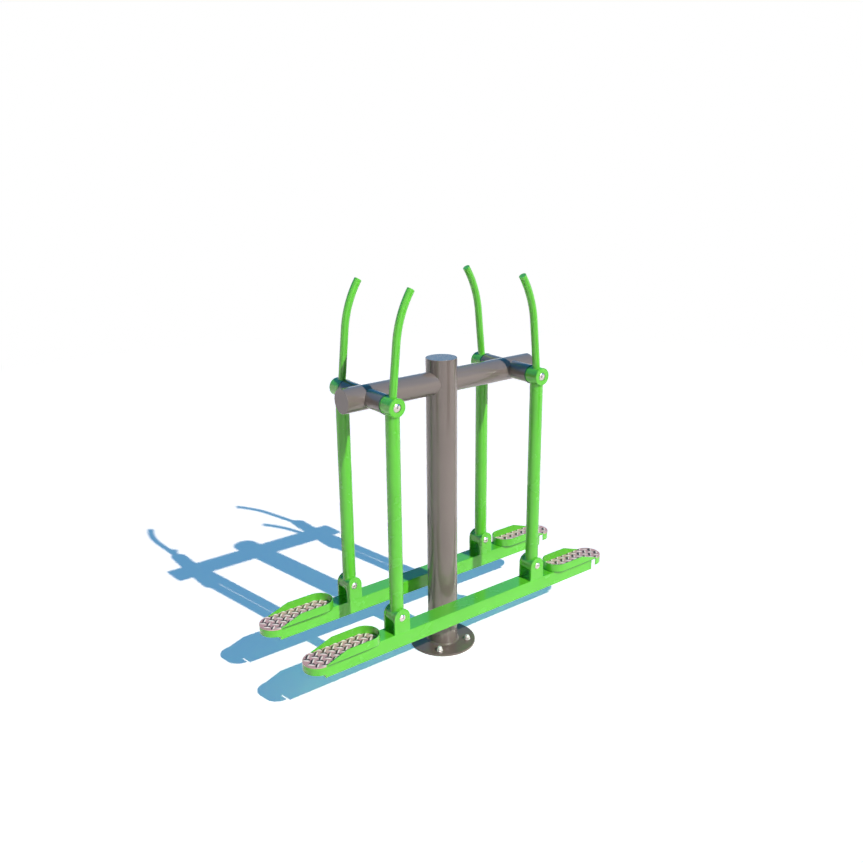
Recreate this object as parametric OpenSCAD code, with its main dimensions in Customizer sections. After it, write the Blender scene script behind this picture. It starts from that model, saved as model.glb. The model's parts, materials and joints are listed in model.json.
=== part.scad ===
// Outdoor air walker: a bolted post carries a crossbar, two cross tubes and four swinging arms.
// Each pair of arms carries a level pedal beam with a foot tray at both ends.
// Millimetres. Origin on the floor at the middle of the base flange, +Z up.
// X runs along the crossbar, left is -X. The near side is -Y, the far side is +Y.

/* [Post] */
// outer diameter of the upright post
post_d = 140; // [125:1:160]
// wall of the post
post_wall = 5; // [3:0.5:8]
// how far the post stands above the crossbar
post_above = 56; // [30:1:80]
// thickness of the flat plate on the post's top
post_cap_t = 5; // [3:0.5:8]
// bevel round the outer edge of the flat caps
cap_bevel = 1; // [0.5:0.5:2]

/* [Base flange] */
// how far the base flange reaches past the post all round
flange_reach = 86; // [70:1:110]
// thickness of the base flange
flange_t = 10; // [8:1:16]
// bevel round the flange's upper edge
flange_bevel = 1.5; // [0.5:0.5:3]
// height of the weld bead between post and flange
weld_h = 8; // [4:1:10]
// distance from the flange's edge to the middles of the anchor holes
anchor_edge = 37; // [30:1:42]

/* [Anchor nuts] */
// thread diameter of the foundation's bolts
anchor_thread_d = 16; // [12:1:18]
// metal between the thread and the flats of an anchor nut
anchor_nut_wall = 4; // [3:0.5:5]
// height of the nut's hexagon
anchor_nut_hex_h = 8; // [6:0.5:12]
// how far the dome stands back from the flats
anchor_dome_step = 0.5; // [0.5:0.5:2]
// straight part between the hexagon and the dome
anchor_dome_neck = 0.5; // [0.5:0.5:4]
// solid metal above the nut's blind thread hole
anchor_nut_crown = 6; // [5:0.5:8]
// how far the washer reaches past the nut's flats
anchor_washer_lip = 3; // [3:0.5:6]
// thickness of an anchor washer
anchor_washer_t = 3; // [2:0.5:4]

/* [Crossbar] */
// height of the crossbar's axis and of all four arm pivots
crossbar_z = 1288; // [1100:1:1400]
// outer diameter of the crossbar
crossbar_d = 106; // [90:1:124]
// wall of the crossbar
crossbar_wall = 5; // [4:0.5:7]
// how far the crossbar reaches past the arm pivots
crossbar_past = 121; // [60:1:160]
// thickness of the plate on each crossbar end
crossbar_cap_t = 5; // [3:0.5:8]

/* [Cross tubes and axles] */
// distance from the post's axis to the arm pivots
arm_x = 399; // [340:1:460]
// distance from the middle plane to the middle of each arm and beam
arm_y = 188; // [150:1:220]
// outer diameter of the cross tubes
cross_tube_d = 83; // [70:1:88]
// wall of the cross tubes
cross_tube_wall = 6.5; // [5:0.5:8]
// diameter of the axle where the bearings sit
axle_d = 30; // [26:1:34]
// height of the axle's shoulder beside the inner bearing
axle_shoulder_h = 3; // [2:0.5:4]
// width of the collar that is welded into each end of a cross tube
axle_collar_w = 15; // [10:1:20]
// how far the washer reaches past the axle
axle_washer_lip = 2.25; // [1.5:0.25:3]
// thickness of that washer
axle_washer_t = 3; // [2:0.5:4]
// thread diameter of the axle cap screw
cap_screw_d = 12; // [10:1:14]
// length of the axle cap screw below its head
cap_screw_len = 30; // [20:1:40]
// how far the screw's head stands back from the washer's edge
cap_head_step = 1.25; // [0.5:0.25:3]
// height of the screw's domed head
cap_head_h = 7.5; // [5:0.5:10]
// height of the straight edge under a low dome
dome_edge = 2; // [1:0.5:3]

/* [Hubs] */
// outer diameter of a bearing
bearing_d = 62; // [55:1:72]
// width of a bearing
bearing_w = 16; // [14:1:18]
// thickness of a bearing's races
race_t = 4; // [3:0.5:5]
// depth of the sunk seal in a bearing's faces
seal_depth = 0.8; // [0.4:0.2:1.2]
// how far the inner bearing sits inside the hub's end
bearing_inset = 1; // [0.5:0.5:3]
// wall of the hub round its bearings
hub_wall = 9; // [7:0.5:12]
// how far the hub reaches past the leg on each side
hub_over = 6; // [5:1:10]
// height of the raised ring at the hub's inner end
hub_ring_h = 3; // [2:0.5:5]
// width of that ring
hub_ring_w = 6; // [4:1:8]
// height of the rib between the two bearings
hub_rib_h = 4; // [2:0.5:5]
// gap between the hub and the end of the cross tube
hub_gap = 1.5; // [1:0.5:3]
// wall of the hub round its cover
cover_edge = 3; // [2:0.5:4]
// thickness of the cover
cover_t = 3; // [2:0.5:4]

/* [Legs and barrels] */
// outer diameter of a leg, and the length of the barrel at its foot
leg_d = 60; // [50:1:70]
// wall of a leg
leg_wall = 4; // [3:0.5:5]
// height of the lower pivots
pivot_z = 357; // [300:1:420]
// how far the barrel's round stands out past the leg
barrel_over = 7.5; // [5:0.5:12]
// wall of a bush
bush_wall = 4; // [3:0.5:5]
// length of a bush inside the barrel
bush_len = 22; // [15:1:24]
// how far a bush's flange reaches past the bush
bush_lip = 8; // [4:0.5:10]
// thickness of a bush's flange
bush_flange_t = 1; // [0.5:0.25:1]

/* [Handles] */
// outer diameter of a handle
handle_d = 33.7; // [28:0.1:36]
// wall of a handle
handle_wall = 3; // [2:0.5:4]
// lean of the straight part towards the post
handle_lean = 6; // [3:1:9]
// length of the straight part, from the pivot height
handle_straight = 250; // [200:5:300]
// bend radius of the upper part
handle_bend_r = 458; // [380:1:540]
// angle the upper part bends through
handle_bend = 27.6; // [20:0.1:32]
// thickness of the plate on a handle's tip
handle_cap_t = 3; // [2:0.5:5]

/* [Clevis plates and pivot bolts] */
// thickness of a clevis plate
clevis_t = 10; // [8:1:12]
// gap between barrel and clevis plate on each side
barrel_gap = 1.25; // [1.25:0.25:2]
// how far a clevis plate reaches past the barrel's round
clevis_edge = 2.5; // [1:0.5:6]
// height of the lower pivots above the beam
clevis_rise = 71; // [60:1:85]
// diameter of a pivot bolt
pivot_bolt_d = 20; // [16:1:24]
// how far the domed head and the domed nut reach past the bolt
pivot_head_lip = 5.5; // [4:0.5:8]
// height of the domed head and of the domed nut
pivot_head_h = 9; // [7:0.5:12]
// solid metal above the bolt's end in its nut
pivot_nut_crown = 4; // [3.5:0.5:5]

/* [Beams] */
// height of a pedal beam
beam_h = 67; // [55:1:80]
// wall of the beam
beam_wall = 4; // [3:0.5:6]
// thickness of the plate on each beam end
beam_cap_t = 4; // [3:0.5:6]

/* [Foot trays] */
// gap along the beam between the clevis plates and a tray's toe
toe_gap = 62; // [40:1:90]
// distance between the middles of a tray's round ends
tray_straight = 228; // [190:1:270]
// how far the middle of the round heel lies past the beam's end
heel_past = 9; // [7:1:30]
// how far a tray reaches past the beam on each side
tray_over = 23.75; // [18:0.25:30]
// thickness of the rim's strip
rim_t = 4; // [3:0.5:5]
// height of the rim above the beam at the toe
rim_h = 40; // [30:1:50]
// length over which the rim's top edge slopes down to the heel
slope_run = 104; // [80:1:140]
// depth of the strip below the plate round the heel
heel_skirt = 34; // [25:1:40]
// overlap of the heel strip with the side strip
skirt_lap = 6; // [4:1:7]
// thickness of the tread plate
tread_t = 4; // [3:0.5:5]

/* [Tread lugs] */
// distance between lugs of the same direction, both ways
lug_pitch = 40; // [34:1:46]
// place of the first row of lugs beyond the middle of the heel end
lug_shift = 24; // [0:1:40]
// length of a lug
lug_len = 34; // [28:1:38]
// width of a lug in its middle
lug_w = 8; // [6:0.5:9]
// angle between a lug and the tray's length
lug_turn = 45; // [30:1:60]
// height of a lug above the plate
lug_h = 3; // [1:0.1:3.4]

/* [Clearances] */
// radial clearance of axles and pivot bolts in their bearings and bushes
running = 0.05; // [0.03:0.01:0.08]
// radial clearance of screws and bolts in fixed holes
hole_play = 0.1; // [0.05:0.05:0.3]
// side clearance between a turning piece and a fixed one
side_play = 0.2; // [0.1:0.05:0.3]
// radial clearance of the cover in the hub
cover_play = 0.4; // [0.2:0.1:0.6]
// radial gap between the cover and the washer that turns in its hole
cover_hole_gap = 1.25; // [0.75:0.25:2]
// radial clearance of a foundation bolt in the flange
anchor_hole_play = 1; // [0.5:0.25:1.5]
// radial clearance of a foundation bolt in a washer
anchor_washer_play = 0.5; // [0.25:0.25:0.75]

/* [Hidden] */
$fn = 96;
eps = 1;
hex = 6;
right = 1;
left = -1;
near = -1;
far = 1;

flange_d = post_d + 2 * flange_reach;
anchor_pcd = flange_d - 2 * anchor_edge;
anchor_hole_d = anchor_thread_d + 2 * anchor_hole_play;
anchor_nut_af = anchor_thread_d + 2 * anchor_nut_wall;
anchor_washer_d = anchor_nut_af + 2 * anchor_washer_lip;
anchor_dome_r = anchor_nut_af / 2 - anchor_dome_step;
anchor_dome_z = anchor_nut_hex_h + anchor_dome_neck;
anchor_nut_h = anchor_dome_z + anchor_dome_r;
crossbar_half = arm_x + crossbar_past;
post_top_z = crossbar_z + crossbar_d / 2 + post_above;

hub_len = leg_d + 2 * hub_over;
hub_in = arm_y - hub_len / 2;
hub_out = arm_y + hub_len / 2;
hub_d = bearing_d + 2 * hub_wall;
cover_d = hub_d - 2 * cover_edge;
cross_tube_half = hub_in - hub_gap;
bearing_in = hub_in + bearing_inset;
bearing_out = hub_out - cover_t - axle_washer_t;
axle_end = bearing_out + side_play;
axle_washer_d = axle_d + 2 * axle_washer_lip;
cap_seat = axle_end + axle_washer_t;

barrel_d = leg_d + 2 * barrel_over;
barrel_in = arm_y - leg_d / 2;
barrel_out = arm_y + leg_d / 2;
bush_bore = pivot_bolt_d + 2 * running;
bush_d = bush_bore + 2 * bush_wall;
clevis_w = barrel_d + 2 * clevis_edge;
beam_w = leg_d + 2 * (barrel_gap + clevis_t);
beam_in = arm_y - beam_w / 2;
beam_out = arm_y + beam_w / 2;
beam_top_z = pivot_z - clevis_rise;
pivot_head_d = pivot_bolt_d + 2 * pivot_head_lip;
pivot_thread_len = pivot_head_h - pivot_nut_crown - side_play;

tray_r = beam_w / 2 + tray_over;
tray_inner_r = tray_r - rim_t;
tray_w = 2 * tray_r;
toe_x = arm_x + clevis_w / 2 + toe_gap + tray_r;
heel_x = toe_x + tray_straight;
beam_half = heel_x - heel_past;
tread_top_z = beam_top_z + tread_t;
rim_top_z = beam_top_z + rim_h;
slope_x = heel_x - slope_run;

post_paint = [0.36, 0.33, 0.31];
arm_paint = [0.30, 0.68, 0.20];
steel = [0.78, 0.78, 0.76];
plate_steel = [0.55, 0.50, 0.49];
bronze = [0.62, 0.45, 0.22];

// Arms and beams are drawn at the right on the far side, then mirrored to their place.
module on_side(side_x, side_y) {
    mirror([side_x < 0 ? 1 : 0, 0, 0])
        mirror([0, side_y < 0 ? 1 : 0, 0])
            children();
}

// the same piece at the left and at the right
module both_ends() {
    children();
    mirror([1, 0, 0]) children();
}

// the same piece on the near and on the far side
module both_sides() {
    children();
    mirror([0, 1, 0]) children();
}

// lays a piece drawn along Z along Y, through the point x, z
module along_y(x, z) {
    translate([x, 0, z]) rotate([-90, 0, 0]) children();
}

// lays a piece drawn along Z along X, at the crossbar's height
module along_crossbar() {
    translate([0, 0, crossbar_z]) rotate([0, 90, 0]) children();
}

// a round piece between two heights
module round_bar(d, low, high) {
    translate([0, 0, low]) cylinder(d = d, h = high - low);
}

module pipe(d, wall, low, high) {
    difference() {
        round_bar(d, low, high);
        round_bar(d - 2 * wall, low - eps, high + eps);
    }
}

// a flat plate with a bevelled upper edge
module bevelled_disc(d, t, bevel) {
    cylinder(d = d, h = t - bevel);
    translate([0, 0, t - bevel]) cylinder(d1 = d, d2 = d - 2 * bevel, h = bevel);
}

// a low dome with a short straight edge, its flat face at z = 0
module low_dome(d, h) {
    rise = h - dome_edge;
    ball_r = (d * d / 4 + rise * rise) / (2 * rise);
    cylinder(d = d, h = dome_edge);
    intersection() {
        translate([0, 0, h - ball_r]) sphere(r = ball_r);
        translate([0, 0, dome_edge]) cylinder(d = d, h = h);
    }
}

module at_anchors() {
    for (a = [45:90:315]) {
        rotate([0, 0, a]) translate([anchor_pcd / 2, 0, 0]) children();
    }
}

module base_flange() {
    color(post_paint) difference() {
        union() {
            bevelled_disc(flange_d, flange_t, flange_bevel);
            translate([0, 0, flange_t])
                cylinder(d1 = post_d + 2 * weld_h, d2 = post_d, h = weld_h);
        }
        round_bar(post_d, flange_t, flange_t + weld_h + eps);
        at_anchors() round_bar(anchor_hole_d, -eps, flange_t + eps);
    }
}

module post() {
    color(post_paint) pipe(post_d, post_wall, flange_t, post_top_z - post_cap_t);
}

module post_cap() {
    color(post_paint)
        translate([0, 0, post_top_z - post_cap_t])
            bevelled_disc(post_d, post_cap_t, cap_bevel);
}

module crossbar() {
    color(post_paint) difference() {
        both_ends() along_crossbar()
            pipe(crossbar_d, crossbar_wall, 0, crossbar_half - crossbar_cap_t);
        round_bar(post_d, flange_t, post_top_z);
        both_ends() along_y(arm_x, crossbar_z)
            round_bar(cross_tube_d, -cross_tube_half, cross_tube_half);
    }
}

module crossbar_caps() {
    color(post_paint) both_ends() along_crossbar()
        translate([0, 0, crossbar_half - crossbar_cap_t])
            bevelled_disc(crossbar_d, crossbar_cap_t, cap_bevel);
}

module cross_tubes() {
    color(post_paint) both_ends() along_y(arm_x, crossbar_z)
        pipe(cross_tube_d, cross_tube_wall, -cross_tube_half, cross_tube_half);
}

module axle() {
    collar_d = cross_tube_d - 2 * cross_tube_wall;
    along_y(arm_x, crossbar_z) difference() {
        union() {
            round_bar(axle_d, -axle_end, axle_end);
            for (s = [near, far]) {
                mirror([0, 0, s < 0 ? 1 : 0]) {
                    round_bar(axle_d + 2 * axle_shoulder_h, cross_tube_half - eps, bearing_in - side_play);
                    round_bar(collar_d, cross_tube_half - axle_collar_w, cross_tube_half);
                }
            }
        }
        for (s = [near, far]) {
            mirror([0, 0, s < 0 ? 1 : 0])
                round_bar(cap_screw_d + 2 * hole_play, axle_end - cap_screw_len, axle_end + eps);
        }
    }
}

module axles() {
    color(steel) both_ends() axle();
}

module axle_washers() {
    color(steel) both_ends() both_sides() along_y(arm_x, crossbar_z) difference() {
        round_bar(axle_washer_d, axle_end, cap_seat);
        round_bar(cap_screw_d + 2 * hole_play, axle_end - eps, cap_seat + eps);
    }
}

module axle_cap_screws() {
    color(steel) both_ends() both_sides() along_y(arm_x, crossbar_z) {
        round_bar(cap_screw_d, cap_seat - cap_screw_len, cap_seat + eps);
        translate([0, 0, cap_seat]) low_dome(axle_washer_d - 2 * cap_head_step, cap_head_h);
    }
}

module anchor_washers() {
    bore = anchor_thread_d + 2 * anchor_washer_play;
    color(steel) at_anchors() difference() {
        round_bar(anchor_washer_d, flange_t, flange_t + anchor_washer_t);
        round_bar(bore, flange_t - eps, flange_t + anchor_washer_t + eps);
    }
}

// a hexagon with a dome on it and a blind hole from below
module domed_nut() {
    difference() {
        union() {
            cylinder(d = anchor_nut_af / cos(180 / hex), h = anchor_nut_hex_h, $fn = hex);
            round_bar(2 * anchor_dome_r, anchor_nut_hex_h - eps, anchor_dome_z);
            translate([0, 0, anchor_dome_z]) difference() {
                sphere(r = anchor_dome_r);
                round_bar(2 * anchor_dome_r + eps, -anchor_dome_r - eps, 0);
            }
        }
        round_bar(anchor_thread_d, -eps, anchor_nut_h - anchor_nut_crown);
    }
}

module anchor_nuts() {
    color(steel) at_anchors()
        translate([0, 0, flange_t + anchor_washer_t]) domed_nut();
}

// the hub's outside, which also copes the leg and the handle
module hub_outside() {
    round_bar(hub_d, hub_in, hub_out);
    round_bar(hub_d + 2 * hub_ring_h, hub_in, hub_in + hub_ring_w);
}

module hub() {
    color(arm_paint) along_y(arm_x, crossbar_z) difference() {
        hub_outside();
        round_bar(bearing_d - 2 * hub_rib_h, hub_in - eps, hub_out + eps);
        round_bar(bearing_d, hub_in - eps, bearing_in + bearing_w);
        round_bar(bearing_d, bearing_out - bearing_w, hub_out + eps);
        round_bar(cover_d + 2 * cover_play, hub_out - cover_t, hub_out + eps);
    }
}

module cover() {
    color(arm_paint) along_y(arm_x, crossbar_z) difference() {
        round_bar(cover_d, hub_out - cover_t, hub_out);
        round_bar(axle_washer_d + 2 * cover_hole_gap, hub_out - cover_t - eps, hub_out + eps);
    }
}

// a ball bearing as one ring, with sunk seals between its races
module bearing() {
    bore = axle_d + 2 * running;
    difference() {
        cylinder(d = bearing_d, h = bearing_w);
        round_bar(bore, -eps, bearing_w + eps);
        difference() {
            pipe(bearing_d - 2 * race_t, (bearing_d - bore) / 2 - 2 * race_t, -eps, bearing_w + eps);
            round_bar(bearing_d, seal_depth, bearing_w - seal_depth);
        }
    }
}

module bearings() {
    color(steel) along_y(arm_x, crossbar_z) {
        translate([0, 0, bearing_in]) bearing();
        translate([0, 0, bearing_out - bearing_w]) bearing();
    }
}

// leg tube, coped to the hub above and to the barrel below
module leg() {
    color(arm_paint) difference() {
        translate([arm_x, arm_y, 0]) pipe(leg_d, leg_wall, pivot_z, crossbar_z);
        along_y(arm_x, crossbar_z) hub_outside();
        along_y(arm_x, pivot_z) round_bar(barrel_d, barrel_in - eps, barrel_out + eps);
    }
}

// the frame of a handle: its straight part runs along Z from the pivot height
module from_handle_foot() {
    translate([arm_x, arm_y, crossbar_z]) rotate([0, -handle_lean, 0]) children();
}

module handle() {
    color(arm_paint) difference() {
        from_handle_foot() {
            pipe(handle_d, handle_wall, 0, handle_straight);
            translate([-handle_bend_r, 0, handle_straight]) rotate([90, 0, 0])
                rotate_extrude(angle = handle_bend) translate([handle_bend_r, 0]) difference() {
                    circle(d = handle_d);
                    circle(d = handle_d - 2 * handle_wall);
                }
        }
        along_y(arm_x, crossbar_z) hub_outside();
    }
}

module handle_cap() {
    color(arm_paint) from_handle_foot()
        translate([-handle_bend_r, 0, handle_straight]) rotate([0, -handle_bend, 0])
            translate([handle_bend_r, 0, 0]) bevelled_disc(handle_d, handle_cap_t, cap_bevel);
}

module barrel() {
    color(arm_paint) along_y(arm_x, pivot_z) difference() {
        round_bar(barrel_d, barrel_in, barrel_out);
        round_bar(bush_d, barrel_in - eps, barrel_out + eps);
    }
}

module bushes() {
    flange_d = bush_d + 2 * bush_lip;
    color(bronze) along_y(arm_x, pivot_z) difference() {
        union() {
            round_bar(bush_d, barrel_in - bush_flange_t, barrel_in + bush_len);
            round_bar(flange_d, barrel_in - bush_flange_t, barrel_in);
            round_bar(bush_d, barrel_out - bush_len, barrel_out + bush_flange_t);
            round_bar(flange_d, barrel_out, barrel_out + bush_flange_t);
        }
        round_bar(bush_bore, beam_in, beam_out);
    }
}

// a box between two x positions, centred on the beam
module beam_block(from_x, to_x, shrink) {
    translate([from_x, beam_in + shrink, beam_top_z - beam_h + shrink])
        cube([to_x - from_x, beam_w - 2 * shrink, beam_h - 2 * shrink]);
}

module beam_tube() {
    tube_half = beam_half - beam_cap_t;
    color(arm_paint) difference() {
        beam_block(-tube_half, tube_half, 0);
        beam_block(-tube_half - eps, tube_half + eps, beam_wall);
    }
}

module beam_caps() {
    color(arm_paint) both_ends() beam_block(beam_half - beam_cap_t, beam_half, 0);
}

// a plate with a round top that stands on the beam, drawn lying down
module clevis_outline() {
    difference() {
        union() {
            circle(d = clevis_w);
            translate([-clevis_w / 2, 0]) square([clevis_w, pivot_z - beam_top_z]);
        }
        circle(d = pivot_bolt_d + 2 * hole_play);
    }
}

module clevis_plates() {
    color(arm_paint) both_ends() along_y(arm_x, pivot_z) {
        translate([0, 0, beam_in]) linear_extrude(clevis_t) clevis_outline();
        translate([0, 0, beam_out - clevis_t]) linear_extrude(clevis_t) clevis_outline();
    }
}

module pivot_bolts() {
    color(steel) both_ends() along_y(arm_x, pivot_z) {
        round_bar(pivot_bolt_d, beam_in - pivot_thread_len, beam_out + eps);
        translate([0, 0, beam_out]) low_dome(pivot_head_d, pivot_head_h);
    }
}

module pivot_nuts() {
    color(steel) both_ends() along_y(arm_x, pivot_z) difference() {
        translate([0, 0, beam_in]) rotate([180, 0, 0]) low_dome(pivot_head_d, pivot_head_h);
        round_bar(pivot_bolt_d + 2 * hole_play, beam_in - pivot_thread_len - side_play, beam_in + eps);
    }
}

// outline of a foot tray: two round ends joined by straight sides
module tray_outline(r) {
    translate([toe_x, 0]) circle(r = r);
    translate([heel_x, 0]) circle(r = r);
    translate([toe_x, -r]) square([heel_x - toe_x, 2 * r]);
}

module strip_outline() {
    difference() {
        tray_outline(tray_r);
        tray_outline(tray_inner_r);
    }
}

// what is cut off above the rim: the slope towards the heel, and all above the plate behind it
module above_slope() {
    rotate([90, 0, 0]) linear_extrude(tray_w + 2 * eps, center = true)
        polygon([
            [slope_x, rim_top_z],
            [heel_x, tread_top_z],
            [heel_x, beam_top_z],
            [heel_x + tray_w, beam_top_z],
            [heel_x + tray_w, rim_top_z + eps],
            [slope_x, rim_top_z + eps]
        ]);
}

module tray_rims() {
    color(arm_paint) both_ends() translate([0, arm_y, 0]) {
        difference() {
            translate([0, 0, beam_top_z]) linear_extrude(rim_h) strip_outline();
            above_slope();
        }
        translate([0, 0, beam_top_z - heel_skirt]) linear_extrude(heel_skirt) intersection() {
            strip_outline();
            translate([heel_x - skirt_lap, -tray_w]) square([tray_w, 2 * tray_w]);
        }
    }
}

// the plate lies inside the rim, and covers the strip round the heel
module tread_outline() {
    tray_outline(tray_inner_r);
    intersection() {
        tray_outline(tray_r);
        translate([heel_x, -tray_w]) square([tray_w, 2 * tray_w]);
    }
}

// one lug: the overlap of two large circles, pointed at both ends
module lug(turn) {
    arc_r = (lug_len * lug_len + lug_w * lug_w) / (4 * lug_w);
    rotate([0, 0, turn]) intersection() {
        translate([0, arc_r - lug_w / 2]) circle(r = arc_r);
        translate([0, lug_w / 2 - arc_r]) circle(r = arc_r);
    }
}

// distance of a point from the line between the two round ends' middles
function from_spine(x, y) = norm([x - min(max(x, toe_x), heel_x), y]);

// one grid of lugs that all point the same way, where their middles lie on the plate
module lug_grid(first_x, first_y, turn) {
    for (i = [0:ceil((first_x - toe_x + tray_r) / lug_pitch)]) {
        for (j = [0:ceil(tray_w / lug_pitch)]) {
            x = first_x - i * lug_pitch;
            y = first_y + j * lug_pitch;
            if (from_spine(x, y) < tray_inner_r) translate([x, y]) lug(turn);
        }
    }
}

// two grids that stand square to each other, the second half a pitch further both ways
module lug_field() {
    lug_grid(heel_x + lug_shift, -lug_pitch, -lug_turn);
    lug_grid(heel_x + lug_shift + lug_pitch / 2, -1.5 * lug_pitch, lug_turn);
}

// both beams carry the same plates, so these are moved to their side, not mirrored
module tread_plates(side_y) {
    color(plate_steel) both_ends() translate([0, side_y * arm_y, beam_top_z]) {
        linear_extrude(tread_t) tread_outline();
        translate([0, 0, tread_t]) linear_extrude(lug_h) intersection() {
            tread_outline();
            lug_field();
        }
    }
}

base_flange();
post();
post_cap();
crossbar();
crossbar_caps();
cross_tubes();
axles();
axle_washers();
axle_cap_screws();
anchor_washers();
anchor_nuts();

on_side(left, near) hub();  // near_left_hub
on_side(left, near) cover();  // near_left_cover
on_side(left, near) bearings();  // near_left_bearings
on_side(left, near) leg();  // near_left_leg
on_side(left, near) handle();  // near_left_handle
on_side(left, near) handle_cap();  // near_left_handle_cap
on_side(left, near) barrel();  // near_left_barrel
on_side(left, near) bushes();  // near_left_bushes

on_side(right, near) hub();  // near_right_hub
on_side(right, near) cover();  // near_right_cover
on_side(right, near) bearings();  // near_right_bearings
on_side(right, near) leg();  // near_right_leg
on_side(right, near) handle();  // near_right_handle
on_side(right, near) handle_cap();  // near_right_handle_cap
on_side(right, near) barrel();  // near_right_barrel
on_side(right, near) bushes();  // near_right_bushes

on_side(left, far) hub();  // far_left_hub
on_side(left, far) cover();  // far_left_cover
on_side(left, far) bearings();  // far_left_bearings
on_side(left, far) leg();  // far_left_leg
on_side(left, far) handle();  // far_left_handle
on_side(left, far) handle_cap();  // far_left_handle_cap
on_side(left, far) barrel();  // far_left_barrel
on_side(left, far) bushes();  // far_left_bushes

on_side(right, far) hub();  // far_right_hub
on_side(right, far) cover();  // far_right_cover
on_side(right, far) bearings();  // far_right_bearings
on_side(right, far) leg();  // far_right_leg
on_side(right, far) handle();  // far_right_handle
on_side(right, far) handle_cap();  // far_right_handle_cap
on_side(right, far) barrel();  // far_right_barrel
on_side(right, far) bushes();  // far_right_bushes

on_side(right, near) beam_tube();  // near_beam_tube
on_side(right, near) beam_caps();  // near_beam_caps
on_side(right, near) clevis_plates();  // near_clevis_plates
on_side(right, near) pivot_bolts();  // near_pivot_bolts
on_side(right, near) pivot_nuts();  // near_pivot_nuts
on_side(right, near) tray_rims();  // near_tray_rims
tread_plates(near);  // near_tread_plates

on_side(right, far) beam_tube();  // far_beam_tube
on_side(right, far) beam_caps();  // far_beam_caps
on_side(right, far) clevis_plates();  // far_clevis_plates
on_side(right, far) pivot_bolts();  // far_pivot_bolts
on_side(right, far) pivot_nuts();  // far_pivot_nuts
on_side(right, far) tray_rims();  // far_tray_rims
tread_plates(far);  // far_tread_plates
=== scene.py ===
"""Outdoor air walker: materials, rounded edges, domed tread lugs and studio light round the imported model."""
import json
import math

import bmesh
import bpy
from mathutils import Matrix, Vector


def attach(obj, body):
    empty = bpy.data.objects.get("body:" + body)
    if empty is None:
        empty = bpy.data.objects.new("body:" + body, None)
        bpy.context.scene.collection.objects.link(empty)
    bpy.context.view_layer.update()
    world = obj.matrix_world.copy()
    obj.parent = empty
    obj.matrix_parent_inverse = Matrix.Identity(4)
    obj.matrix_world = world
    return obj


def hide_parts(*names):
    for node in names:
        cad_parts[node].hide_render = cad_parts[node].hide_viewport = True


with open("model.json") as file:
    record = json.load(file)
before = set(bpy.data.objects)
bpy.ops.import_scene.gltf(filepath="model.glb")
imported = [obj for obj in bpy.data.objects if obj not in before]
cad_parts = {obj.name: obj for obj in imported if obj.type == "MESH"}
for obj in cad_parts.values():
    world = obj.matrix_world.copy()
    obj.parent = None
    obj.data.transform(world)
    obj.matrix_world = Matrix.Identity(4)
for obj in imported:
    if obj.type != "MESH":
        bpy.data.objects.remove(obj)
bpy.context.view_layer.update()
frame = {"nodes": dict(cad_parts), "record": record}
nodes = frame["nodes"]
scene = bpy.context.scene

# the sides' directions on y and the ends' directions on x
SIDES = {"near": -1, "far": 1}
ENDS = {"left": -1, "right": 1}
ARMS = [side + "_" + end for side in SIDES for end in ENDS]

# foot trays, in metres, as in the part's source
ARM_Y = 0.188
TRAY_R = 0.065
RIM_T = 0.004
TOE_X = 0.566
HEEL_X = 0.794
BEAM_TOP_Z = 0.286
TREAD_T = 0.004

# lugs of the tread plates, as in the part's source
LUG_PITCH = 0.040
LUG_SHIFT = 0.024
LUG_LEN = 0.034
LUG_W = 0.008
LUG_TURN = 45
LUG_H = 0.003

# how blunt shoes have worn the lugs' ends: two is a plain lens
LUG_BLUNT = 3.2
# rings of a lug, from its foot up: share of its outline and of its height, how bright its open flank and its
# lee flank are, from shoes rubbing its crown and from a painted highlight on the open flank, which faces the
# main light, and how far painted shade covers the lee flank, which faces away from it
LUG_RINGS = (
    {"share": 1.0, "rise": 0.045, "rubbed_and_lit": 0.6, "lee_rubbed_and_lit": 0.0, "lee_painted_shade": 1.0},
    {"share": 0.72, "rise": 0.52, "rubbed_and_lit": 1.0, "lee_rubbed_and_lit": 0.1, "lee_painted_shade": 1.0},
    {"share": 0.42, "rise": 0.88, "rubbed_and_lit": 1.0, "lee_rubbed_and_lit": 0.7, "lee_painted_shade": 0.4},
    {"share": 0.14, "rise": 1.0, "rubbed_and_lit": 1.0, "lee_rubbed_and_lit": 1.0, "lee_painted_shade": 0.0},
)
# how far the lugs' rings stay inside the plate's outline: the lowest one, and each one above it further
LUG_INSET = 0.0007
RING_INSET = 0.0003
# the film of painted shade in the lee of a lug, on its side away from the main light, by the side to which the
# lug is turned: its reach in metres and its height as a share of the lug's; its spread on the other sides, and
# the share of painted shade left at its edge
SHADE_FILM_REACH = {-1: 0.0065, 1: 0.011}
SHADE_FILM_RISE = {-1: 0.035, 1: 0.02}
SHADE_FILM_SPREAD = 1.05
SHADE_FILM_EDGE = 0.8
# the tread plate's rounded edge, and the angle in degrees from which its edges stay sharp
PLATE_ROUND = 0.0006
SHARP_FROM = 40

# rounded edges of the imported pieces, in metres, and the angle in degrees from which an edge is rounded
ROUND_BEAM = 0.003
ROUND_FLANGE = 0.003
ROUND_HUB = 0.001
ROUND_CLEVIS = 0.001
ROUND_CAP = 0.0008
ROUND_STRIP = 0.0006
ROUND_FROM = 30

# darker marks: how far from the middle plane a hub's raised ring ends, where the strip round the heel begins
# to reach below the plate, the height of the painted shadow line at a rim's foot, and how softly each of these
# ends
HUB_RING_END = 0.1584
HUB_RING_FADE = 0.0004
SKIRT_X = HEEL_X - 0.006
SKIRT_FADE = 0.001
RIM_SEAM_SHADOW = 0.0022
RIM_SEAM_SHADOW_FADE = 0.2 * RIM_SEAM_SHADOW

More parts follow.
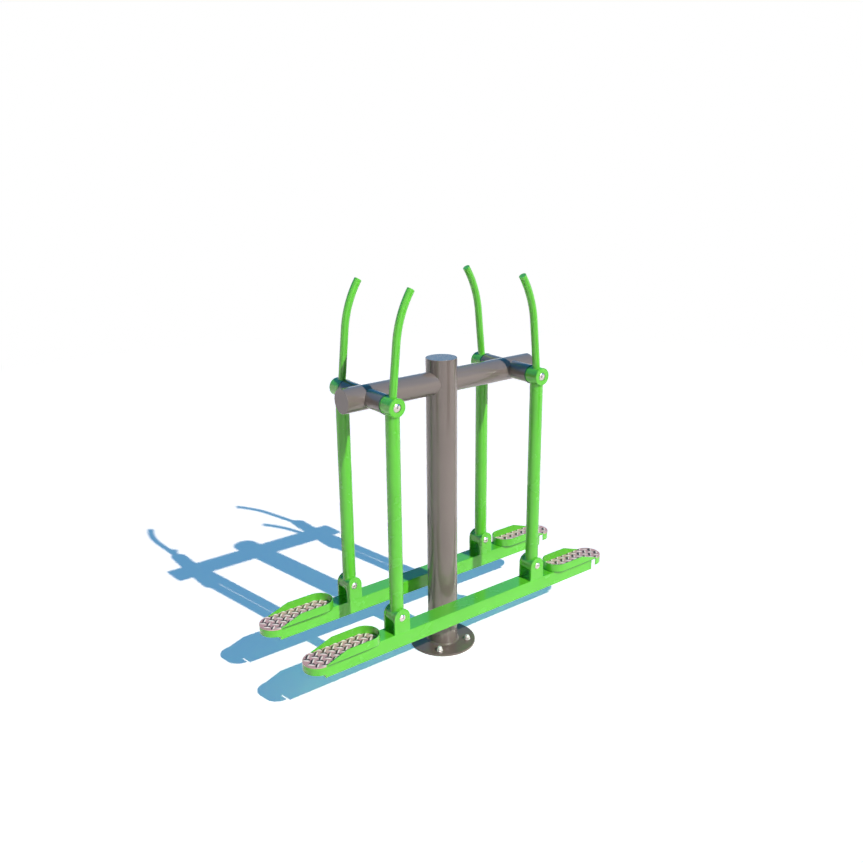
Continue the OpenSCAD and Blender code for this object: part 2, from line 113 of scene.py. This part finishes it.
GREEN = (0.13, 0.69, 0.034)
WORN_GREEN = (0.32, 0.74, 0.2)
# dark green of the band on the hubs' raised rings, and of the painted shadow line at the rims' foot
DARKENED_GREEN = (0.008, 0.13, 0.02)
POST_BROWN = (0.221, 0.179, 0.163)
FLANGE_BROWN = (0.155, 0.113, 0.1)
WORN_BROWN = (0.34, 0.3, 0.28)
STAINLESS = (0.93, 0.86, 0.82)
ZINC = (0.9, 0.87, 0.84)
BRONZE = (0.62, 0.45, 0.22)
TREAD_DULL = (0.655, 0.395, 0.405)
TREAD_PALE = (0.76, 0.465, 0.485)
# painted shade in the lugs' lee; then the lugs' crowns rubbed bright by shoes, with a painted highlight on
# their open flanks
TREAD_PAINTED_SHADE = (0.065, 0.036, 0.028)
TREAD_RUBBED_AND_LIT = (1.0, 0.91, 0.87)

# nodes with a material of their own, by the ends of their names; the others take their slot's
OWN_MATERIAL = {"_hub": "hub_paint", "_tray_rims": "rim_paint", "base_flange": "flange_paint",
                "anchor_washers": "anchor_zinc", "anchor_nuts": "anchor_zinc"}

# the floor as it lights the walker, as gloss shows it, and as the camera sees it, with its shadows' blue
FLOOR_LIT_BY = (1.15, 1.15, 1.15)
FLOOR_MIRRORED = (1.27, 1.18, 1.2)
FLOOR_SEEN = (1.45, 1.22, 1.02)
FLOOR_SHADE = (0.072, 0.244, 0.454)
FLOOR_R = 9
FLOOR_Z = -0.0004
# over this stretch, from the middle outwards, the floor that the camera sees turns to the background's white
FLOOR_FAR = (4.5, 7.5)

# the cool panel overhead, as it lights the walker and as gloss shows it
SKY_FILL = (0.33, 0.66, 1.0)
SKY_FILL_STRENGTH = 0.09
SKY_MIRRORED = (0.08, 0.5, 1.0)
SKY_MIRRORED_STRENGTH = 0.66
SKY_R = 18
SKY_Z = 5.2
# its reflection turns from blue to white over this stretch, from its middle towards the front left
SKY_TURNS_WHITE = (0.5, 5.0)
FRONT_LEFT = (-0.61, -0.79, 0)

# what lies round the floor and the panel, as it lights the walker; all else sees it white
AROUND_FILL = (0.8, 0.9, 1.0)
AROUND_FILL_STRENGTH = 0.1
WHITE = (1, 1, 1)

# dark cards that bright metal reflects: place on the floor, width, and turn in degrees; then their height,
# how far above the floor they hang, and their colour
FLAGS = {"flag_left": {"x": -3.6, "y": -1.4, "width": 1.6, "turn": 68},
         "flag_right": {"x": 1.0, "y": -3.4, "width": 1.8, "turn": -16}}
FLAG_H = 3.4
FLAG_GAP = 0.05
FLAG_BLACK = (0.02, 0.02, 0.022)

# the photograph's camera: place in metres, angles in radians, focal length and frame in pixels
CAMERA_AT = (-2.34131, -2.96853, 2.26053)
CAMERA_HEADING = 0.915045
CAMERA_PITCH = 0.308255
CAMERA_ROLL = -0.008673
FOCAL_PIXELS = 883.9
PHOTO_PIXELS = 863
SENSOR_MM = 36


# ---- shader helpers ----

class Shader:
    """A material with its principled shader, and short calls that add and link nodes."""

    def __init__(self, name):
        self.material = bpy.data.materials.new(name)
        self.material.use_nodes = True
        self.tree = self.material.node_tree
        self.surface = self.tree.nodes["Principled BSDF"]
        self.place = self.tree.nodes.new("ShaderNodeTexCoord").outputs["Object"]

    def add(self, kind, **values):
        node = self.tree.nodes.new(kind)
        for key, value in values.items():
            setattr(node, key, value)
        return node

    def link(self, source, target):
        self.tree.links.new(source, target)

    def fix(self, **values):
        """Constants that go straight on the principled shader's own sockets."""
        for key, value in values.items():
            self.surface.inputs[key.replace("_", " ")].default_value = value

    def drive(self, **sources):
        """Patterns that go into the principled shader's sockets."""
        for key, source in sources.items():
            self.link(source, self.surface.inputs[key.replace("_", " ")])

    def show(self, shader):
        """This shader in place of the principled one."""
        self.tree.nodes.remove(self.surface)
        self.link(shader, self.tree.nodes["Material Output"].inputs["Surface"])

    def noise(self, scale, detail):
        node = self.add("ShaderNodeTexNoise")
        node.inputs["Scale"].default_value = scale
        node.inputs["Detail"].default_value = detail
        self.link(self.place, node.inputs["Vector"])
        return node.outputs["Fac"]

    def ramp(self, value, low, high, out_low=0.0, out_high=1.0):
        """Out_low where the value is at most low, out_high where it is at least high."""
        node = self.add("ShaderNodeMapRange")
        limits = {"From Min": low, "From Max": high, "To Min": out_low, "To Max": out_high}
        for socket, number in limits.items():
            node.inputs[socket].default_value = number
        self.link(value, node.inputs["Value"])
        return node.outputs["Result"]

    def patches(self, scale, detail, low, high, out_low=0.0, out_high=1.0):
        """Noise whose values from low to high are spread over the given range."""
        return self.ramp(self.noise(scale, detail), low, high, out_low, out_high)

    def attribute(self, name, low, high):
        """A value kept on the mesh's vertices; from low to high it is spread over nought to one."""
        painted = self.add("ShaderNodeAttribute", attribute_name=name)
        return self.ramp(painted.outputs["Fac"], low, high)

    def times(self, a, b):
        node = self.add("ShaderNodeMath", operation="MULTIPLY")
        self.link(a, node.inputs[0])
        self.link(b, node.inputs[1])
        return node.outputs[0]

    def mix(self, factor, a, b):
        """Colour a where the factor is nought, colour b where it is one."""
        node = self.add("ShaderNodeMix", data_type="RGBA")
        self.link(factor, node.inputs["Factor"])
        # the node's sockets for colours are inputs 6 and 7 and output 2
        for socket, colour in ((node.inputs[6], a), (node.inputs[7], b)):
            if isinstance(colour, tuple):
                socket.default_value = (*colour, 1)
            else:
                self.link(colour, socket)
        return node.outputs[2]

    def bump(self, height, distance, below=None):
        node = self.add("ShaderNodeBump")
        node.inputs["Strength"].default_value = 1.0
        node.inputs["Distance"].default_value = distance
        self.link(height, node.inputs["Height"])
        if below is not None:
            self.link(below, node.inputs["Normal"])
        return node.outputs["Normal"]

    def edge(self, radius, low=0.82, high=0.985):
        """One on outer and inner edges, nought on open faces."""
        rounded = self.add("ShaderNodeBevel", samples=4)
        rounded.inputs["Radius"].default_value = radius
        flat = self.add("ShaderNodeNewGeometry")
        dot = self.add("ShaderNodeVectorMath", operation="DOT_PRODUCT")
        self.link(rounded.outputs["Normal"], dot.inputs[0])
        self.link(flat.outputs["Normal"], dot.inputs[1])
        return self.ramp(dot.outputs["Value"], low, high, 1.0, 0.0)

    def within(self, axis, limit, fade):
        """One up to a limit on the distance from the part's middle along an axis, nought past its fade."""
        parts = self.add("ShaderNodeSeparateXYZ")
        self.link(self.place, parts.inputs[0])
        away = self.add("ShaderNodeMath", operation="ABSOLUTE")
        self.link(parts.outputs[axis], away.inputs[0])
        return self.ramp(away.outputs[0], limit, limit + fade, 1.0, 0.0)

    def inner_end(self):
        """One on a hub's raised ring at its inner end, nought on the rest of the hub."""
        return self.within("Y", HUB_RING_END, HUB_RING_FADE)

    def rim_foot_shadow(self):
        """One along the seam where a tray's rim stands on the beam, where a painted shadow line darkens it,
        nought on the rest of the rim.
        """
        low = self.within("Z", BEAM_TOP_Z + RIM_SEAM_SHADOW, RIM_SEAM_SHADOW_FADE)
        return self.times(low, self.within("X", SKIRT_X - SKIRT_FADE, SKIRT_FADE))

    def diffuse(self, colour):
        node = self.add("ShaderNodeBsdfDiffuse")
        node.inputs["Color"].default_value = (*colour, 1)
        return node.outputs[0]

    def glow(self, colour, strength=1.0):
        node = self.add("ShaderNodeEmission")
        node.inputs["Color"].default_value = (*colour, 1)
        node.inputs["Strength"].default_value = strength
        return node.outputs[0]

    def both(self, a, b):
        """The sum of two shaders."""
        node = self.add("ShaderNodeAddShader")
        self.link(a, node.inputs[0])
        self.link(b, node.inputs[1])
        return node.outputs[0]


def blend(tree, factor, a, b):
    """Shader a where the factor is nought, shader b where it is one."""
    node = tree.nodes.new("ShaderNodeMixShader")
    for source, socket in zip((factor, a, b), node.inputs):
        tree.links.new(source, socket)
    return node.outputs[0]


def by_rays(tree, kinds, other, these):
    """The second shader for the named kinds of rays, the first for all others."""
    path = tree.nodes.new("ShaderNodeLightPath")
    factor = path.outputs[kinds[0]]
    for kind in kinds[1:]:
        either = tree.nodes.new("ShaderNodeMath")
        either.operation = "MAXIMUM"
        tree.links.new(factor, either.inputs[0])
        tree.links.new(path.outputs[kind], either.inputs[1])
        factor = either.outputs[0]
    return blend(tree, factor, other, these)


def tinted(colour, share):
    return tuple(min(1.0, c * share) for c in colour)


# ---- materials ----

def powder_coat(name, colour, worn, roughness, peel, coat=0.8, darkened=None):
    """Glossy powder coat: cloudy tone, orange peel, small worn spots along its edges, and dark green where
    the given mask is one: a painted shadow line at the rims' foot, and a darker band on the hubs' raised
    rings."""
    s = Shader(name)
    clouds = s.patches(scale=2.6, detail=3, low=0.35, high=0.65)
    tone = s.mix(clouds, tinted(colour, 0.95), tinted(colour, 1.04))
    chips = s.times(s.edge(radius=0.0016), s.patches(scale=95, detail=4, low=0.52, high=0.6))
    tone = s.mix(chips, tone, worn)
    if darkened is not None:
        # dark green where the mask is one: a painted shadow line at the rims' foot, a darker band on the hubs'
        # rings
        tone = s.mix(darkened(s), tone, DARKENED_GREEN)
    dust = s.patches(scale=14, detail=5, low=0.3, high=0.7,
                     out_low=roughness - 0.03, out_high=roughness + 0.05)
    grain = s.bump(s.noise(scale=420, detail=1), distance=0.6 * peel)
    orange_peel = s.bump(s.noise(scale=70, detail=1), distance=peel, below=grain)
    s.drive(Base_Color=tone, Roughness=dust, Normal=orange_peel)
    s.fix(IOR=1.55, Coat_Weight=coat, Coat_Roughness=0.04)
    return s.material


def green_coat(name, darkened=None):
    return powder_coat(name, GREEN, WORN_GREEN, roughness=0.24, peel=0.0002, darkened=darkened)


def post_coat():
    return powder_coat("brown_grey_powder_coat", POST_BROWN, WORN_BROWN, roughness=0.2, peel=0.0001)


def flange_coat():
    """The post's coat on the base flange: darker, duller and with less clear coat."""
    return powder_coat("brown_grey_powder_coat_flange", FLANGE_BROWN, WORN_BROWN, roughness=0.33,
                       peel=0.0001, coat=0.4)


def bright_metal(name, colour, roughness, metallic=1.0):
    """Polished steel or bronze with fine turning marks and faint smears, or duller zinc plate."""
    s = Shader(name)
    smears = s.patches(scale=60, detail=4, low=0.3, high=0.7)
    dulled = s.patches(scale=220, detail=3, low=0.3, high=0.7,
                       out_low=roughness - 0.05, out_high=roughness + 0.06)
    s.drive(Base_Color=s.mix(smears, tinted(colour, 0.93), tinted(colour, 1.03)), Roughness=dulled,
            Normal=s.bump(s.noise(scale=1500, detail=1), distance=0.00003))
    s.fix(Metallic=metallic)
    return s.material


def tread_steel():
    """Rolled tread plate: dull pinkish ground, painted shade in the lee of the lugs, away from the main light,
    and lugs rubbed bright by shoes on their crowns, with a painted highlight on their open flanks.
    """
    s = Shader("tread_plate_steel")
    ground = s.mix(s.patches(scale=38, detail=5, low=0.3, high=0.7), TREAD_DULL, TREAD_PALE)
    # painted shade on each lug's lee flank and in the film beside it
    painted_shade = s.times(s.attribute("painted_shade", low=0.1, high=0.8),
                    s.patches(scale=120, detail=3, low=0.2, high=0.5, out_low=0.8))
    # crowns rubbed bright by shoes, and a painted highlight on each lug's open flank
    rubbed_and_lit = s.times(s.attribute("rubbed_and_lit", low=0.1, high=0.6),
                     s.patches(scale=180, detail=3, low=0.25, high=0.5, out_low=0.85))
    s.drive(Base_Color=s.mix(rubbed_and_lit, s.mix(painted_shade, ground, TREAD_PAINTED_SHADE), TREAD_RUBBED_AND_LIT),
            Roughness=s.ramp(rubbed_and_lit, low=0, high=1, out_low=0.42, out_high=0.24),
            Normal=s.bump(s.noise(scale=900, detail=2), distance=0.00006))
    s.fix(Metallic=0.05)
    return s.material


def make_materials():
    """Materials by the record's slots, and those of OWN_MATERIAL."""
    return {
        "arm_paint": green_coat("green_powder_coat"),
        "hub_paint": green_coat("green_powder_coat_hub", darkened=Shader.inner_end),
        # a painted shadow line along the rims' foot, where the rim overhangs the beam
        "rim_paint": green_coat("green_powder_coat_rim", darkened=Shader.rim_foot_shadow),
        "post_paint": post_coat(),
        "flange_paint": flange_coat(),
        "fastener_steel": bright_metal("stainless_steel", STAINLESS, roughness=0.24),
        "anchor_zinc": bright_metal("zinc_plate", ZINC, roughness=0.38, metallic=0.45),
        "tread_steel": tread_steel(),
        "bronze": bright_metal("bearing_bronze", BRONZE, roughness=0.3),
    }


def material_kind(node, slot):
    for ending, kind in OWN_MATERIAL.items():
        if node.endswith(ending):
            return kind
    return slot


def paint_nodes(materials):
    for row in frame["record"]["subparts"]:
        mesh = nodes[row["node"]].data
        mesh.materials.clear()
        mesh.materials.append(materials[material_kind(row["node"], row["material_slot"])])


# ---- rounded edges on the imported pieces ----

def soften(node, width, segments=2):
    """Real steel edges are not knife sharp: seal the mesh, round its edges and even its normals."""
    o = nodes[node]
    weld = o.modifiers.new("seal", "WELD")
    weld.merge_threshold = 1e-5
    flat = o.modifiers.new("join_flat_faces", "DECIMATE")
    flat.decimate_type = "DISSOLVE"
    flat.angle_limit = math.radians(0.3)
    bevel = o.modifiers.new("round_edges", "BEVEL")
    bevel.limit_method = "ANGLE"
    bevel.angle_limit = math.radians(ROUND_FROM)
    bevel.width = width
    bevel.segments = segments
    bevel.use_clamp_overlap = True
    even = o.modifiers.new("even_normals", "WEIGHTED_NORMAL")
    even.keep_sharp = True
    even.weight = 100


def soften_all():
    for side in SIDES:
        soften(side + "_beam_tube", ROUND_BEAM, segments=3)
        soften(side + "_clevis_plates", ROUND_CLEVIS)
        soften(side + "_tray_rims", ROUND_STRIP)
    for arm in ARMS:
        soften(arm + "_hub", ROUND_HUB)
        soften(arm + "_cover", ROUND_STRIP)
    soften("base_flange", ROUND_FLANGE, segments=3)
    for node in ("crossbar_caps", "post_cap", "axle_washers", "anchor_washers"):
        soften(node, ROUND_CAP)


# ---- tread plates with domed lugs ----

def off_spine(x, y):
    """The nearest x on the line between the middles of the tray's round ends, and the distance from it."""
    spine_x = min(max(x, TOE_X), HEEL_X)
    return spine_x, math.hypot(x - spine_x, y)


def tray_limit(x):
    """Half width of the plate at x, from the middle line or the middle of its round end."""
    return TRAY_R if x > HEEL_X else TRAY_R - RIM_T


def held_inside(x, y, gap):
    """The point itself, or the nearest one that stays inside the plate's outline."""
    spine_x, away = off_spine(x, y)
    limit = tray_limit(x) - gap
    if away <= limit:
        return x, y
    return spine_x + (x - spine_x) * limit / away, y * limit / away


def half_round(x, r, first, steps=28):
    """Points of half a circle round a place on the middle line, anticlockwise from the angle first."""
    for i in range(steps + 1):
        a = first + math.pi * i / steps
        yield x + r * math.cos(a), r * math.sin(a)


def plate_outline():
    """Corner points of the plate, anticlockwise: round heel, step in to the rim, round toe, step out."""
    inner_r = TRAY_R - RIM_T
    return [*half_round(HEEL_X, TRAY_R, -math.pi / 2), (HEEL_X, inner_r),
            *half_round(TOE_X, inner_r, math.pi / 2), (HEEL_X, -inner_r)]


def lug_outline(steps=10):
    """A lens with worn, blunt ends, as points round it, with its long axis on x."""
    points = []
    for i in range(steps):
        along = 2 * i / steps - 1
        points.append((along * LUG_LEN / 2, (1 - abs(along) ** LUG_BLUNT) * LUG_W / 2))
    return points + [(-x, -y) for x, y in points]


def lug_places():
    """Middle and turn of each lug: two grids, half a step apart, turned to either side."""
    first_x = HEEL_X + LUG_SHIFT
    columns = math.ceil(2 * TRAY_R / LUG_PITCH) + 1
    for start_x, start_y, turn in ((first_x, -LUG_PITCH, -LUG_TURN),
                                   (first_x + LUG_PITCH / 2, -1.5 * LUG_PITCH, LUG_TURN)):
        rows = math.ceil((start_x - TOE_X + TRAY_R) / LUG_PITCH) + 1
        for i in range(rows):
            for j in range(columns):
                x, y = start_x - i * LUG_PITCH, start_y + j * LUG_PITCH
                if off_spine(x, y)[1] < TRAY_R - RIM_T:
                    yield x, y, math.radians(turn)


def lug_rings(hand):
    """Rings of one lug, from the film of painted shade at its foot to its crown: points of u, v, rise, rubbed
    and lit, and painted shade, with the lee, the side away from the main light, where v is above nought."""
    reach = 1 + 2 * SHADE_FILM_REACH[hand] / LUG_W
    yield [(SHADE_FILM_SPREAD * u, v * (reach if v > 0 else SHADE_FILM_SPREAD), SHADE_FILM_RISE[hand], 0.0,
            SHADE_FILM_EDGE if v > 0 else 0.0) for u, v in lug_outline()]
    for ring in LUG_RINGS:
        yield [(ring["share"] * u, ring["share"] * v, ring["rise"],
                ring["lee_rubbed_and_lit"] if v > 0 else ring["rubbed_and_lit"],
                ring["lee_painted_shade"] if v > 0 else 0.0) for u, v in lug_outline()]


def join_rings(bm, low, high):
    """Faces between two rings of as many corners."""
    for i in range(len(low)):
        j = (i + 1) % len(low)
        bm.faces.new((low[i], low[j], high[j], high[i]))


def add_lug(bm, marks, x, y, turn):
    """One domed lug on the plate, cut short where the plate ends."""
    c, s = math.cos(turn), math.sin(turn)
    rings = []
    for i, points in enumerate(lug_rings(1 if turn > 0 else -1)):
        ring = []
        for u, v, rise, rubbed_and_lit, painted_shade in points:
            gap = LUG_INSET + RING_INSET * i
            px, py = held_inside(x + u * c - v * s, y + u * s + v * c, gap)
            vert = bm.verts.new((px, py, BEAM_TOP_Z + TREAD_T + rise * LUG_H))
            # each point's rubbed crown and painted highlight, and its painted shade
            vert[marks["rubbed_and_lit"]] = rubbed_and_lit
            vert[marks["painted_shade"]] = painted_shade
            ring.append(vert)
        rings.append(ring)
    for low, high in zip(rings, rings[1:]):
        join_rings(bm, low, high)
    bm.faces.new(rings[-1])


def add_plate(bm):
    """The plate under the lugs, with rounded upper and lower edges."""
    low = [bm.verts.new((x, y, BEAM_TOP_Z)) for x, y in plate_outline()]
    high = [bm.verts.new((x, y, BEAM_TOP_Z + TREAD_T)) for x, y in plate_outline()]
    bm.faces.new(low[::-1])
    bm.faces.new(high)
    join_rings(bm, low, high)
    level = [e for e in bm.edges if e.verts[0].co.z == e.verts[1].co.z]
    bmesh.ops.bevel(bm, geom=level, offset=PLATE_ROUND, segments=2, profile=0.5, affect="EDGES")


def mesh_from(bm, name):
    mesh = bpy.data.meshes.new(name)
    bm.to_mesh(mesh)
    bm.free()
    return mesh


def tread_mesh(side, end):
    """Plate and lugs of one foot tray; the left trays mirror the right ones."""
    bm = bmesh.new()
    marks = {name: bm.verts.layers.float.new(name) for name in ("rubbed_and_lit", "painted_shade")}
    add_plate(bm)
    for x, y, turn in lug_places():
        add_lug(bm, marks, x, y, turn)
    place = Matrix.Translation((0, SIDES[side] * ARM_Y, 0)) @ Matrix.Diagonal((ENDS[end], 1, 1, 1))
    bmesh.ops.transform(bm, matrix=place, verts=bm.verts)
    bmesh.ops.recalc_face_normals(bm, faces=bm.faces)
    mesh = mesh_from(bm, "tread")
    for polygon in mesh.polygons:
        polygon.use_smooth = True
    mesh.set_sharp_from_angle(angle=math.radians(SHARP_FROM))
    return mesh


def build_treads(material):
    """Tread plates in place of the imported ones."""
    for side in SIDES:
        for end in ENDS:
            o = add_object(side + "_" + end + "_tread", tread_mesh(side, end))
            o.data.materials.append(material)
            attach(o, side + "_beam")
            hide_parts(side + "_tread_plates")


# ---- studio ----

def add_object(name, data):
    o = bpy.data.objects.new(name, data)
    scene.collection.objects.link(o)
    return o


def add_disc(name, radius, segments, height, material, face_down=False):
    """A level round sheet of the studio, round the part's middle."""
    bm = bmesh.new()
    bmesh.ops.create_circle(bm, cap_ends=True, segments=segments, radius=radius)
    if face_down:
        bmesh.ops.reverse_faces(bm, faces=bm.faces)
    disc = add_object(name, mesh_from(bm, name))
    disc.location.z = height
    disc.data.materials.append(material)
    return disc


def pale_floor():
    """Pale floor: white to the camera where it is lit, with the walker's blue shadow on it."""
    s = Shader("pale_floor")
    near = s.both(s.diffuse(FLOOR_SEEN), s.glow(FLOOR_SHADE))
    away = s.add("ShaderNodeVectorMath", operation="LENGTH")
    s.link(s.place, away.inputs[0])
    seen = blend(s.tree, s.ramp(away.outputs["Value"], *FLOOR_FAR), near, s.glow(WHITE))
    unseen = by_rays(s.tree, ("Is Glossy Ray", "Is Transmission Ray"),
                     s.diffuse(FLOOR_LIT_BY), s.diffuse(FLOOR_MIRRORED))
    s.show(by_rays(s.tree, ("Is Camera Ray",), unseen, seen))
    add_disc("floor", FLOOR_R, segments=96, height=FLOOR_Z, material=s.material)


def sky_panel():
    """Wide soft light overhead, a cool blue as in the photograph; up-facing paint and steel reflect it."""
    s = Shader("sky_panel")
    forward = s.add("ShaderNodeVectorMath", operation="DOT_PRODUCT")
    s.link(s.place, forward.inputs[0])
    forward.inputs[1].default_value = FRONT_LEFT
    mirrored = blend(s.tree, s.ramp(forward.outputs["Value"], *SKY_TURNS_WHITE),
                     s.glow(SKY_MIRRORED, SKY_MIRRORED_STRENGTH), s.glow(WHITE))
    s.show(by_rays(s.tree, ("Is Glossy Ray",), s.glow(SKY_FILL, SKY_FILL_STRENGTH), mirrored))
    panel = add_disc("sky_panel", SKY_R, segments=48, height=SKY_Z, material=s.material, face_down=True)
    panel.visible_camera = False
    panel.visible_shadow = False


def dark_flags():
    """Two tall dark cards in front, seen only in reflections, that give bright metal its shape."""
    s = Shader("dark_flag")
    s.fix(Base_Color=(*FLAG_BLACK, 1), Roughness=0.9)
    for name, flag in FLAGS.items():
        bm = bmesh.new()
        bmesh.ops.create_grid(bm, x_segments=1, y_segments=1, size=0.5)
        card = add_object(name, mesh_from(bm, name))
        card.scale = (flag["width"], FLAG_H, 1)
        card.rotation_euler = (math.radians(90), 0, math.radians(flag["turn"]))
        card.location = (flag["x"], flag["y"], FLAG_H / 2 + FLAG_GAP)
        card.visible_camera = card.visible_diffuse = card.visible_shadow = False
        card.data.materials.append(s.material)


def studio_world():
    """Plain white round the studio, which lights the walker only a little."""
    scene.world = bpy.data.worlds.new("studio")
    scene.world.use_nodes = True
    tree = scene.world.node_tree
    tree.nodes.clear()
    tones = []
    for colour, strength in ((AROUND_FILL, AROUND_FILL_STRENGTH), (WHITE, 1.0)):
        node = tree.nodes.new("ShaderNodeBackground")
        node.inputs["Color"].default_value = (*colour, 1)
        node.inputs["Strength"].default_value = strength
        tones.append(node.outputs[0])
    shown = by_rays(tree, ("Is Camera Ray", "Is Glossy Ray", "Is Transmission Ray"), *tones)
    out = tree.nodes.new("ShaderNodeOutputWorld")
    tree.links.new(shown, out.inputs["Surface"])


def sun(name, energy, width, towards, colour=WHITE):
    """A sun lamp in the direction towards; its width in degrees says how soft its shadows are."""
    lamp = bpy.data.lights.new(name, "SUN")
    lamp.energy = energy
    lamp.angle = math.radians(width)
    lamp.color = colour
    add_object(name, lamp).rotation_euler = Vector(towards).to_track_quat("Z", "Y").to_euler()


def studio_lamps():
    """Main light in front, above and a little right, so its shadow falls back and left; then a weak wide
    one from the front left, low enough to leave the tops alone."""
    sun("key", energy=3.05, width=0.5, towards=(0.189, -1.132, 1.0), colour=(1.0, 0.975, 0.94))
    sun("front_fill", energy=0.05, width=70, towards=(-0.62, -0.785, 0.2))


def photo_camera():
    """The photograph's viewpoint, fitted to tube edges, ends and pivots."""
    level, down = math.cos(CAMERA_PITCH), math.sin(CAMERA_PITCH)
    east, north = math.cos(CAMERA_HEADING), math.sin(CAMERA_HEADING)
    ahead = Vector((level * east, level * north, -down))
    right = Vector((north, -east, 0))
    up = right.cross(ahead)
    c, s = math.cos(CAMERA_ROLL), math.sin(CAMERA_ROLL)
    right, up = c * right + s * up, c * up - s * right
    data = bpy.data.cameras.new("camera")
    data.sensor_width = SENSOR_MM
    data.lens = SENSOR_MM * FOCAL_PIXELS / PHOTO_PIXELS
    camera = add_object("camera", data)
    turn = Matrix((right, up, -ahead)).transposed().to_4x4()
    camera.matrix_world = Matrix.Translation(CAMERA_AT) @ turn
    scene.camera = camera


scene.view_settings.view_transform = "Standard"
photo_camera()
studio_world()
studio_lamps()
sky_panel()
dark_flags()
pale_floor()
materials = make_materials()
paint_nodes(materials)
soften_all()
build_treads(materials["tread_steel"])
